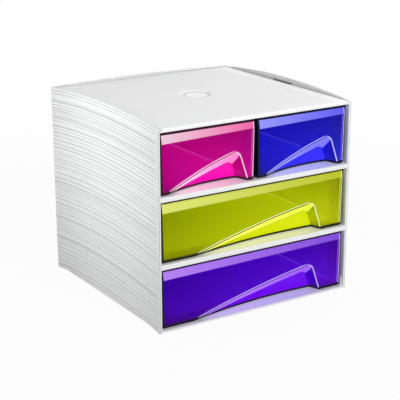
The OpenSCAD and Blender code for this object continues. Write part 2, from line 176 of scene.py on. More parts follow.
def wall_tree():
    """Sweeps a section along a wall whose height follows an arch, and on round its bend. The
    Section mesh holds one point for each station along the wall, then the section's own."""
    tree = bpy.data.node_groups.new("ribbed_wall", "GeometryNodeTree")
    for name, kind in (
        ("Section", "NodeSocketGeometry"), ("Stations", "NodeSocketInt"),
        ("Arch height", "NodeSocketFloat"), ("Bend start", "NodeSocketFloat"),
        ("Bend radius", "NodeSocketFloat"), ("Inner face", "NodeSocketFloat"),
        ("Thickness", "NodeSocketFloat"), ("Wall start", "NodeSocketFloat"),
        ("Strip end", "NodeSocketFloat"), ("Edge rounding", "NodeSocketFloat"),
        ("Turn", "NodeSocketRotation"), ("Material", "NodeSocketMaterial"),
    ):
        tree.interface.new_socket(name=name, in_out="INPUT", socket_type=kind)
    tree.interface.new_socket(name="Wall", in_out="OUTPUT", socket_type="NodeSocketGeometry")
    group = tree.nodes.new("NodeGroupInput")
    given = {s.name: Wire(tree, s) for s in group.outputs if s.name}
    start = Wire(tree)
    points = start.node("GeometryNodeAttributeDomainSize", {"component": "MESH"},
                        {"Geometry": given["Section"]})
    rows = points - given["Stations"]
    grid = start.node("GeometryNodeMeshGrid", None,
                      {"Vertices X": given["Stations"], "Vertices Y": rows})
    index = start.node("GeometryNodeInputIndex")
    column = (index / rows + 0.0001).floor()
    row = index - column * rows
    position = start.node("GeometryNodeInputPosition")

    def sampled(at):
        """The place of one of the section's points, as three numbers."""
        return parts(start.node(
            "GeometryNodeSampleIndex", {"data_type": "FLOAT_VECTOR", "domain": "POINT"},
            {"Geometry": given["Section"], "Value": position, "Index": at}))

    along = sampled(column)[0]
    out, out_smooth, radius = sampled(row + given["Stations"])
    smooth = along < given["Strip end"]
    out = out + (out_smooth - out) * smooth
    rounding = given["Edge rounding"]
    near = (rounding - (along - given["Wall start"])).most(0.0)
    cut = rounding - (rounding * rounding - near * near).most(0.0).root()
    out = out.most(cut).least(given["Thickness"] - cut)
    straight = along.least(given["Bend start"])
    height = ((radius * radius - straight * straight).root() + given["Arch height"]).most(0.0)
    turn = (along - given["Bend start"]).most(0.0) / (given["Bend radius"] + given["Thickness"])
    from_centre = given["Bend radius"] + out
    place = start.node("ShaderNodeCombineXYZ", None, {
        0: given["Inner face"] - given["Bend radius"] + from_centre * turn.cosine(),
        1: straight + from_centre * turn.sine(),
        2: height,
    })
    wall = start.node("GeometryNodeSetPosition", None, {"Geometry": grid, "Position": place})
    wall = start.node("GeometryNodeMergeByDistance", None, {"Geometry": wall, "Distance": 1e-6})
    wall = start.node("GeometryNodeTransform", None, {"Geometry": wall, "Rotation": given["Turn"]})
    wall = start.node("GeometryNodeRealizeInstances", None, {"Geometry": wall})
    wall = start.node("GeometryNodeSetShadeSmooth", None, {"Geometry": wall})
    wall = start.node("GeometryNodeSetMaterial", None,
                      {"Geometry": wall, "Material": given["Material"]})
    result = tree.nodes.new("NodeGroupOutput")
    tree.links.new(wall.socket, result.inputs[0])
    return tree


def new_mesh(name, points, faces=()):
    """An object at the origin whose mesh has these points, given in millimetres."""
    mesh = bpy.data.meshes.new(name)
    mesh.from_pydata([[c / 1000 for c in p] for p in points], (), faces)
    thing = bpy.data.objects.new(name, mesh)
    bpy.context.scene.collection.objects.link(thing)
    return thing


def baked(thing):
    """Turns what the modifiers make into the object's plain mesh."""
    bpy.context.view_layer.update()
    graph = bpy.context.evaluated_depsgraph_get()
    mesh = bpy.data.meshes.new_from_object(thing.evaluated_get(graph))
    thing.modifiers.clear()
    old, thing.data = thing.data, mesh
    bpy.data.meshes.remove(old)
    mesh.name = thing.name
    return thing


CAP_SIDES = 12      # a face with this many sides or more is a flat end


def closed(thing, crease=35, mirrored=False):
    """Fills open ends, points the faces outwards and shades all but flat ends and creases
    smoothly."""
    if mirrored:
        thing.data.transform(Matrix.Diagonal((-1, 1, 1, 1)))
    shape = bmesh.new()
    shape.from_mesh(thing.data)
    open_edges = [e for e in shape.edges if e.is_boundary]
    if open_edges:
        bmesh.ops.holes_fill(shape, edges=open_edges)
    bmesh.ops.recalc_face_normals(shape, faces=shape.faces)
    shape.to_mesh(thing.data)
    shape.free()
    thing.data.set_sharp_from_angle(angle=radians(crease))
    smooth = [len(face.vertices) < CAP_SIDES for face in thing.data.polygons]
    thing.data.polygons.foreach_set("use_smooth", smooth)
    thing.data.update()
    return thing


def ramp(value, low, high, course="LINEAR"):
    """0 below low and 1 above high, or the other way round if high is the lower."""
    return value.node("ShaderNodeMapRange", {"clamp": True, "interpolation_type": course},
                      {0: value, 1: low, 2: high, 3: 0.0, 4: 1.0})


def mix(share, one, other):
    """Between two colours: one where share is 0 and other where it is 1."""
    ends = [c if isinstance(c, Wire) else (*c, 1.0) for c in (one, other)]
    return share.node("ShaderNodeMix", {"data_type": "RGBA"},
                      {0: share, 6: ends[0], 7: ends[1]}, output=2)


def new_material(name):
    """A material with an empty tree, and a wire that its nodes can start from."""
    material = bpy.data.materials.new(name)
    material.use_nodes = True
    material.node_tree.nodes.clear()
    return material, Wire(material.node_tree)


def polystyrene(name, tone, gloss, peel, marks):
    """White moulded polystyrene: faint clouding, uneven gloss and a fine orange peel. marks is
    the function that paints a wall's or a plate's highlights and shade over the clouding."""
    material, start = new_material(name)
    spot = start.node("ShaderNodeTexCoord", output=3)

    def noise(scale, detail):
        return start.node("ShaderNodeTexNoise", None,
                          {"Vector": spot, "Scale": scale, "Detail": detail})

    cloudy = start.node("ShaderNodeValToRGB", {"stops": [
        (0.3, [c * 0.975 for c in tone]), (0.7, tone),
    ]}, {0: noise(14.0, 3.0)})
    skin = start.node("ShaderNodeBump", None, {
        "Strength": peel, "Distance": 0.0001, "Height": noise(1300.0, 2.0)})
    surface = start.node("ShaderNodeBsdfPrincipled", None, {
        "Base Color": marks(spot, cloudy), "Roughness": gloss + 0.10 * (noise(55.0, 4.0) - 0.5),
        "Normal": skin, "IOR": 1.55})
    start.node("ShaderNodeOutputMaterial", None, {"Surface": surface})
    return material


SLOT_L = 27.0           # the top's slots beside the side panels
SLOT_SHADE = 1.3        # how far up a side panel the painted shadow of the slot beside it reaches
STREAK_GREY = (0.70, 0.705, 0.71)
LEDGE_HIGHLIGHT_WHITE = (0.96, 0.96, 0.965)
GROOVE_SHADE_GREY = (0.27, 0.275, 0.28)
INNER_SHADE_GREY = (0.48, 0.485, 0.49)
SLOT_SHADOW_BLACK = (0.10, 0.10, 0.105)


def wall_marks(spot, shade):
    """Streaks along the layers, a painted highlight on the ledges that face up and painted shade in
    the grooves and on faces that look down, painted shade on the inner faces above the top, and a
    painted shadow in the slot beside each side panel."""
    x, y, z = (1000 * part for part in parts(spot))
    across = x.size()
    rise = parts(spot.node("ShaderNodeTexCoord", output=1))[2]

    def arch(place, last, radius, centre):
        place = place.least(last)
        return (radius * radius - place * place).root() + centre

    depth = (CASING_W / 2 - across).most(0.0).least((CASING_D / 2 - y).most(0.0))
    side_edge = arch(y, bend_y, arch_r, arch_z)
    back_edge = arch(across, bend_x, back_arch_r, back_arch_z)
    below = side_edge + back_edge - bend_top - z
    outer = ramp(depth, 0.9, 0.7) * ramp(below, 0.9, 1.3)
    layer = spot.node("ShaderNodeCombineXYZ", None, {0: x / 40, 1: y / 40, 2: below / 1.3})
    streaks = spot.node("ShaderNodeTexNoise", None, {"Vector": layer, "Scale": 1.0, "Detail": 2.0})
    # Painted highlight on ledges that face up, and painted shade in the grooves and on faces that
    # look down
    ledge_highlight = ramp(rise, 0.08, 0.3)
    groove_shade = ramp(depth, 0.22, 0.38).most(ramp(rise, -0.05, -0.25))
    shade = mix(0.5 * outer * ramp(streaks, 0.35, 0.75), shade, STREAK_GREY)
    shade = mix(0.8 * outer * ledge_highlight, shade, LEDGE_HIGHLIGHT_WHITE)
    shade = mix(0.74 * outer * groove_shade, shade, GROOVE_SHADE_GREY)

    # Painted shade on the inner faces above the top, darker at the back wall and just above the top
    # panel
    inner_side = ramp(depth, PANEL_T - 0.5, PANEL_T - 0.3) * ramp(below, 0.3, 0.9)
    inner_back = ramp(y, in_y - 0.3, in_y - 0.1) * ramp(depth, 0.1, 0.4)
    above_top = inner_side.most(inner_back) * ramp(z, CORNER_H - 0.4, CORNER_H)
    at_back = ramp(y, in_y - 0.6, in_y - 0.2)
    near_top = ramp(z, CORNER_H + 0.7, CORNER_H + 0.2)
    shade = mix(above_top * (0.25 + 0.4 * at_back + 0.25 * near_top), shade, INNER_SHADE_GREY)

    # Painted shadow in the slot beside each side panel
    slot = ramp(across, in_x - 0.3, in_x - 0.2) * ramp(depth, 1.5, 2.0)
    slot *= ramp(y.size(), SLOT_L / 2 + 0.3, SLOT_L / 2 - 0.3)
    slot *= ramp(z, CORNER_H - 3, CORNER_H - 2)
    slot *= ramp(z, CORNER_H + SLOT_SHADE, CORNER_H + SLOT_SHADE - 0.4)
    return mix(0.8 * slot, shade, SLOT_SHADOW_BLACK)


white_wall = polystyrene("white_polystyrene_walls", (0.84, 0.845, 0.855), 0.34, 0.25, wall_marks)
joints, layer_faces = layers_of_solid()
side_radii = [hypot(bend_y, z - arch_z) for z in joints]
back_radii = [hypot(bend_x, z - back_arch_z) for z in joints]
ribbed_wall = wall_tree()


def wall(name, stations, radii, sizes, mirrored=False):
    """A wall baked from the tree, with stations along it and the radii of its layers' joints."""
    points = [(along, 0, 0) for along in stations]
    thing = new_mesh(name, points + wall_section(radii, layer_faces))
    modifier = thing.modifiers.new("Wall", "NODES")
    modifier.node_group = ribbed_wall
    sizes = dict(sizes, Stations=len(stations), Material=white_wall)
    for socket in ribbed_wall.interface.items_tree:
        if socket.in_out == "INPUT" and socket.name in sizes:
            modifier[socket.identifier] = sizes[socket.name]
    baked(thing)
    thing.data.materials.clear()
    thing.data.materials.append(white_wall)
    thing.data.polygons.foreach_set("material_index", [0] * len(thing.data.polygons))
    return closed(thing, mirrored=mirrored)


strip_end = front_y + FRONT_STRIP
side_stations = [front_y + FRONT_ROUND * (1 - cos(a)) for a in spaced(0, pi / 2, 6)]
side_stations += [strip_end - 0.05, strip_end + 0.05]
side_stations += spaced(strip_end + 2, bend_y - 1, 44)
side_stations += spaced(bend_y, bend_y + CORNER_R * pi / 2, 14)
side_sizes = {
    "Arch height": arch_z / 1000, "Bend start": bend_y / 1000,
    "Bend radius": (CORNER_R - PANEL_T) / 1000, "Inner face": in_x / 1000,
    "Thickness": PANEL_T / 1000, "Wall start": front_y / 1000,
    "Strip end": strip_end / 1000, "Edge rounding": FRONT_ROUND / 1000,
}
right_panel = wall("right_side_panel_wall", side_stations, side_radii, side_sizes)
left_panel = wall("left_side_panel_wall", side_stations, side_radii, side_sizes, mirrored=True)
# The back has no bend, strip or rounded end, so they lie far beyond its own ends
back_sizes = dict(side_sizes, **{
    "Arch height": back_arch_z / 1000, "Bend start": 1.0, "Bend radius": 0.0,
    "Inner face": in_y / 1000, "Wall start": -1.0, "Strip end": -1.0, "Turn": (0, 0, pi / 2),
})
back_panel = wall("back_panel_wall", spaced(-bend_x, bend_x, 48), back_radii, back_sizes)
for piece, node in ((right_panel, "right_side_panel"), (left_panel, "left_side_panel"),
                    (back_panel, "back_panel")):
    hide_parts(node)
    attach(piece, "casing")


# ---- top panel and shelves -------------------------------------------------------------------
# White moulded plates held in grooves in the walls, each with a lip under its front edge.
# The top has a bare round dish in its middle, margins that curve up to the side walls and a
# narrow slot beside each wall, where a second tower would stand.

LIP_D = 2.4
TOP_T, TOP_EDGE_H, TOP_NOSE = 1.6, 2.7, 1.6
SHELF_T, SHELF_EDGE_H, SHELF_NOSE = 2.2, 3.9, 0.8
UPPER_SHELF_TOP, LOWER_SHELF_TOP = 108.2, 55.1
DISH_D, DISH_FLOOR_D, DISH_DEPTH, DISH_EASE = 29.0, 20.0, 0.8, 0.5
DISH_SIDES = 120
MARGIN_W, MARGIN_RISE, COVE_R = 15.0, 0.35, 1.2     # the margins, and their fillet at the wall
SLOT_W = 1.4
PAINTED_HIGHLIGHT_WHITE = (0.97, 0.97, 0.975)
WALL_SHADOW_GREY = (0.58, 0.58, 0.585)
DISH_SHADE_GREY = (0.45, 0.45, 0.455)


def over(value, limit, soft):
    """1 over the limit and 0 under it, with a gentle change over soft on both sides of it."""
    return ramp(value, limit - soft, limit + soft, "SMOOTHSTEP")


def under(value, limit, soft):
    """1 under the limit and 0 over it."""
    return ramp(value, limit + soft, limit - soft, "SMOOTHSTEP")


def within(value, low, high, soft):
    """1 from low to high, with soft ends."""
    return over(value, low, soft) * under(value, high, soft)


def plate_marks(spot, shade):
    """On the top: painted highlights on the dish floor, its rear slope and the right margin,
    painted shade at the foot and the two sides of the dish's slope, and painted shadow along the
    walls and in the slots."""
    x, y, z = (1000 * part for part in parts(spot))
    across, along = x.size(), y.size()
    radius = (x * x + y * y).root()
    floor_r, rim_r = DISH_FLOOR_D / 2, DISH_D / 2
    on_top = over(z, CORNER_H - 1.15, 0.05)

    # Painted highlights: the dish floor, the dish's rear slope and the right margin are painted
    # paler
    floor = under(radius, floor_r - 0.9, 0.3)
    rear_slope = over(radius, floor_r + 1.5, 0.5) * under(radius, rim_r - 0.1, 0.4)
    right_margin = over(x, in_x - 0.8 * MARGIN_W, 0.2 * MARGIN_W)
    painted_highlight_places = floor.most(rear_slope * over(y, 4.0, 2.0)).most(right_margin)
    # Painted shadow along the foot of the back wall and the side walls
    wall_shadow = over(y, in_y - 2.6, 0.2).most(over(across, in_x - 2.1, 0.2))
    # Painted shade at the foot of the dish's slope and at its left and right sides
    foot = within(radius, floor_r - 0.35, floor_r + 1.25, 0.35)
    sides = over(radius, floor_r + 1.75, 0.75) * under(radius, rim_r + 0.1, 0.4)
    shaded = foot.most(0.35 * sides * under(along, 2.5, 1.0))
    shade = mix(painted_highlight_places * on_top, shade, PAINTED_HIGHLIGHT_WHITE)
    shade = mix(wall_shadow * on_top, shade, WALL_SHADOW_GREY)
    shade = mix(0.8 * shaded * on_top, shade, DISH_SHADE_GREY)

    # Painted shadow in the slots beside the walls
    slot = over(across, in_x - SLOT_W - 0.05, 0.05) * under(along, SLOT_L / 2 + 0.1, 0.1)
    return mix(0.6 * slot * over(z, CORNER_H - 2.5, 0.5), shade, SLOT_SHADOW_BLACK)


PLATE_GLOSS = 0.33      # with less, specks show on the top once a render is denoised
white_plate = polystyrene("white_polystyrene_plates", (0.86, 0.862, 0.868), PLATE_GLOSS, 0.15,
                          plate_marks)


def loft(name, rings, material):
    """A closed solid through rings that have as many points each."""
    count = len(rings[0])
    faces = [
        (r * count + i, r * count + (i + 1) % count,
         (r + 1) * count + (i + 1) % count, (r + 1) * count + i)
        for r in range(len(rings) - 1) for i in range(count)
    ]
    last = (len(rings) - 1) * count
    faces += [tuple(range(count)), tuple(range(last, last + count))]
    thing = new_mesh(name, [p for ring in rings for p in ring], faces)
    thing.data.materials.append(material)
    return closed(thing)


def plate(name, top, thick, edge_h, nose):
    """A plate in section from front to back, lofted from wall to wall, with round rear corners.
    Its front edge has a rounding of nose above and a small one below."""
    under = 0.3
    foot = top - edge_h
    outline = [(front_y + nose * (1 - sin(a)), top - nose * (1 - cos(a)))
               for a in spaced(0, pi / 2, 9)]
    outline.append((front_y, foot + under))
    outline += [(front_y + under * (1 - cos(a)), foot + under * (1 - sin(a)))
                for a in spaced(pi / 6, pi / 2, 3)]
    outline += [(front_y + LIP_D, foot), (front_y + LIP_D, top - thick)]
    outline += [(0.0, top - thick), (0.0, top)]     # 0 stands for the rear edge
    inner_r = CORNER_R - PANEL_T
    xs = [-in_x + inner_r * (1 - cos(a)) for a in spaced(0, pi / 2, 7)]
    xs += [-x for x in reversed(xs)]
    rings = []
    for x in xs:
        beyond = max(0.0, abs(x) - (in_x - inner_r))
        rear = in_y - inner_r + sqrt(max(0.0, inner_r ** 2 - beyond ** 2))
        rings.append([(x, y if y else rear, z) for y, z in outline])
    return loft(name, rings, white_plate)


def combined(thing, others, operation):
    """A piece with the other solids cut out of it or joined to it, and without those solids."""
    for other in others:
        modifier = thing.modifiers.new("Combine", "BOOLEAN")
        modifier.operation = operation
        modifier.solver = "EXACT"
        modifier.object = other
    baked(thing)
    for other in others:
        bpy.data.objects.remove(other)
    return closed(thing, crease=25)


def margin(side):
    """The top's edge along a side wall: it curves up a little, most in the middle of the wall's
    arch, and meets the wall in a small fillet."""
    rings = []
    for y in spaced(front_y + LIP_D, bend_y, 60):
        # It gets narrower and flatter towards the corners, where the wall stands less far above it
        room = max(0.05, arch_z + sqrt((arch_r - PANEL_T / 4) ** 2 - y ** 2) - CORNER_H)
        share = min(1.0, room / ARCH_RISE)
        wide, rise = MARGIN_W * (0.35 + 0.65 * share), MARGIN_RISE * share
        fillet = min(COVE_R, room / 3)
        ring = [(in_x - wide + (wide - fillet) * u, CORNER_H - 0.03 + rise * u * u)
                for u in spaced(0, 1, 10)]
        wall_foot = ring[-1][1]
        ring += [(in_x - fillet * (1 - sin(a)), wall_foot + fillet * (1 - cos(a)))
                 for a in spaced(0, pi / 2, 7)[1:]]
        ring += [(in_x, CORNER_H - TOP_T / 2), (in_x - wide, CORNER_H - TOP_T / 2)]
        rings.append([(side * x, y, z) for x, z in ring])
    return loft("margin", rings, white_plate)


def dish_cutter():
    """What the dish leaves out of the top, turned about the middle, with an eased rim and floor."""
    slope = atan(DISH_DEPTH / ((DISH_D - DISH_FLOOR_D) / 2))

    def bend(a):
        """Where an eased edge slopes by a: how far it is from the slope's end and off the flat."""
        return DISH_EASE * (1 - sin(a) / sin(slope)), DISH_EASE * (1 - cos(a)) / sin(slope)

    profile = [(0.001, -DISH_DEPTH)]
    profile += [(DISH_FLOOR_D / 2 - along, up - DISH_DEPTH)
                for along, up in map(bend, spaced(0, slope, 5))]
    profile += [(DISH_D / 2 + along, -up) for along, up in map(bend, spaced(slope, 0, 5))]
    profile.append((DISH_D / 2 + DISH_EASE + 0.6, 3.0))
    turns = [2 * pi * i / DISH_SIDES for i in range(DISH_SIDES)]
    rings = [[(r * cos(t), r * sin(t), CORNER_H + z) for t in turns] for r, z in profile]
    return loft("dish", rings, white_plate)


def slot_cutter(side):
    """What a stacking slot leaves out: a round-ended bar upright against a side wall."""
    round_r = SLOT_W / 2
    half = SLOT_L / 2 - round_r
    ring = [(side * (in_x - round_r) + round_r * cos(t),
             (half if t < pi else -half) + round_r * sin(t))
            for t in spaced(0, 2 * pi, 24)[:-1]]
    rings = [[(x, y, z) for x, y in ring] for z in (CORNER_H - 5, CORNER_H + 8)]
    return loft("slot", rings, white_plate)


top_panel = plate("top_panel_plate", CORNER_H, TOP_T, TOP_EDGE_H, TOP_NOSE)
combined(top_panel, [margin(-1), margin(1)], "UNION")
combined(top_panel, [dish_cutter(), slot_cutter(-1), slot_cutter(1)], "DIFFERENCE")
upper_shelf = plate("upper_shelf_plate", UPPER_SHELF_TOP, SHELF_T, SHELF_EDGE_H, SHELF_NOSE)
lower_shelf = plate("lower_shelf_plate", LOWER_SHELF_TOP, SHELF_T, SHELF_EDGE_H, SHELF_NOSE)
for piece, node in ((top_panel, "top_panel"), (upper_shelf, "upper_shelf"),
                    (lower_shelf, "lower_shelf")):
    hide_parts(node)
    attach(piece, "casing")


# ---- base panel and centre divider -----------------------------------------------------------
# The base is a shallow white tray whose low upstand closes the arches under the walls.
# The divider is a thin white sheet that stands between the two half-width bays.
# Both are plain mouldings that the walls and the top hold in place.

for node in ("base_panel", "centre_divider"):
    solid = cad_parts[node]
    solid.data.materials.clear()
    solid.data.materials.append(white_plate)


# ---- drawers ---------------------------------------------------------------------------------
# Each drawer is one moulding in clear tinted polystyrene, open at the top, with a thin wall all
# round, a band leaning back along the front's top with a painted reflection on it, and stop lugs on
# its side walls.
# Its finger recess is a scoop that rises to the right: a sloping roof over a curved rear wall.

DRAWER_H = 48.4
SETBACK, REAR_GAP, RUN_GAP, SIDE_GAP = 3.5, 2.0, 0.3, 0.4
DRAWER_Y0, DRAWER_Y1 = front_y + SETBACK, in_y - REAR_GAP
DRAFT = 0.9
WALL_T, FRONT_T, FLOOR_T = 1.6, 2.0, 1.8
SIDE_FOOT_R, FRONT_FOOT_R, RIM_R, INNER_RIM_R = 1.6, 0.45, 0.45, 0.35
UPRIGHT_R, INNER_UPRIGHT_R = 1.0, 0.5
FLOOR_EASE = 0.4        # less than INNER_UPRIGHT_R, or the floor's outline crosses itself
BAND_H, BAND_LEAN, BAND_EASE = 8.0, 1.5, 0.4
WALL_DROP = 1.5
LUG_L, LUG_TOP = 26.0, 49.7
TRAVEL = 120.0
LUG_Y = front_y + LIP_D + TRAVEL + SIDE_GAP     # the lug meets the lip at the end of the travel
RECESS_H, PEAK_R, ROOF_SLOPE, END_SLOPE, RISE_BULGE = 24.0, 6.0, 42.0, 71.0, 1.5
ROOF_FALL = tan(radians(ROOF_SLOPE))
CUT_EASE, ROOT_EASE = 0.5, 1.0      # rounding along the cut line and along the roof's root
COLUMN_STEP = 0.9
OFF_FRONT = 20.0        # what stands for far from the recess, off the front


def recess_cut(length, grow):
    """The recess's outline on the drawer front, as (across, up) from its left end to its right.
    It is laid out with its heights squeezed by fall, where its curves are parts of circles: a
    long rise from the left end, which runs on into the small circle of the peak."""
    fall = cos(radians(ROOF_SLOPE))
    steep = atan(tan(radians(END_SLOPE)) * fall)
    peak_up = RECESS_H * fall - PEAK_R
    end_run = (peak_up + PEAK_R * cos(steep)) / tan(steep)
    peak = Vector((length - PEAK_R * sin(steep) - end_run, peak_up))
    span = peak.length
    rise_r = span * span / (8 * RISE_BULGE)
    along_span = (rise_r ** 2 - (rise_r - PEAK_R) ** 2 + span ** 2) / (2 * span)
    below_span = sqrt(rise_r ** 2 - along_span ** 2)
    unit = peak / span
    centre = unit * along_span + Vector((unit.y, -unit.x)) * below_span
    meet = atan2(peak.y - centre.y, peak.x - centre.x)
    foot = pi - asin((-0.01 - centre.y) / (rise_r + grow))
    points = [centre + (rise_r + grow) * Vector((cos(a), sin(a))) for a in spaced(foot, meet, 80)]
    points += [peak + (PEAK_R + grow) * Vector((cos(a), sin(a)))
               for a in spaced(meet, pi / 2 - steep, 30)[1:]]
    run = points[-1].y / tan(steep)
    points.append(Vector((points[-1].x + run, 0)))
    return [(p.x, p.y / fall) for p in points]


def between(points, x):
    """The height of a polyline at x, and 0 beyond its ends."""
    if not points[0][0] < x < points[-1][0]:
        return 0.0
    low, high = 0, len(points) - 1
    while high - low > 1:
        middle = (low + high) // 2
        if points[middle][0] <= x:
            low = middle
        else:
            high = middle
    (x0, z0), (x1, z1) = points[low], points[high]
    return z0 + (z1 - z0) * (x - x0) / max(1e-9, x1 - x0)


def soft_least(a, b, soft):
    """The lesser of a and b, rounded off where they differ by less than soft."""
    share = max(0.0, soft - abs(a - b)) / soft
    return min(a, b) - share * share * soft / 4


def soft_most(a, b, soft):
    return -soft_least(-a, -b, soft)


def columns_round(half_foot, recess_start, length):
    """The columns of points that stand round a drawer, as (kind, place along it, top of the wall
    there). The place at a corner or side is the hand, 1 right and -1 left, and an angle or y."""
    # The front's columns crowd at the recess's right end, where the cut line drops steeply
    recess_end, front_end = recess_start + length, half_foot - 4
    steps = int(length / COLUMN_STEP)
    xs = [recess_start + length * i / steps for i in range(1, steps)]
    xs = [x for x in xs if x < recess_end - 14] + spaced(recess_end - 14, recess_end + 2.6, 60)
    xs += spaced(-front_end, recess_start - 3, 4) + [recess_start - d for d in (1.5, 0.7, 0)]
    xs += [x for x in spaced(recess_end + 4, front_end, 3) if x <= front_end]

    # From front to back a side wall steps down behind the band, and up again at its lug
    low = DRAWER_H - WALL_DROP
    band_end = DRAWER_Y0 + BAND_LEAN + FRONT_T
    side = [(DRAWER_Y0 + UPRIGHT_R, DRAWER_H), (band_end, DRAWER_H), (band_end + 0.25, low)]
    side += [(y, low) for y in spaced(DRAWER_Y0 + 6, LUG_Y - 1, 10)] + [(LUG_Y - 0.15, low)]
    side += [(y, LUG_TOP) for y in [LUG_Y] + spaced(LUG_Y + 2, LUG_Y + LUG_L / 2, 4)]
    side += [(LUG_Y + LUG_L * 0.75, (LUG_TOP + low) / 2), (LUG_Y + LUG_L, low)]
    side += [(y, low) for y in spaced(LUG_Y + LUG_L + 5, DRAWER_Y1 - UPRIGHT_R, 4)]

    turns = spaced(0, pi / 2, 9)
    rear_x = half_foot - UPRIGHT_R
    columns = [("front", x, DRAWER_H) for x in sorted(set(round(x, 4) for x in xs))]
    columns += [("front corner", (1, turn), DRAWER_H) for turn in turns[:-1]]
    columns += [("side", (1, y), top) for y, top in side]
    columns += [("rear corner", (1, turn), low) for turn in turns[1:-1]]
    columns += [("rear", x, low) for x in spaced(rear_x, -rear_x, 12)]
    columns += [("rear corner", (-1, turn), low) for turn in reversed(turns[1:-1])]
    columns += [("side", (-1, y), top) for y, top in reversed(side)]
    columns += [("front corner", (-1, turn), DRAWER_H) for turn in reversed(turns[:-1])]
    return columns


def gaps_outside(places, outline):
    """How far each place lies from the outline of a recess. It is negative inside it."""
    starts, runs = outline[:-1], np.diff(outline, axis=0)
    offset = places[:, None, :] - starts
    share = ((offset * runs).sum(2) / (runs ** 2).sum(1)).clip(0, 1)
    gaps = np.sqrt(((offset - share[:, :, None] * runs) ** 2).sum(2)).min(1)
    return [-gap if z < between(outline, x) else gap for (x, z), gap in zip(places, gaps)]


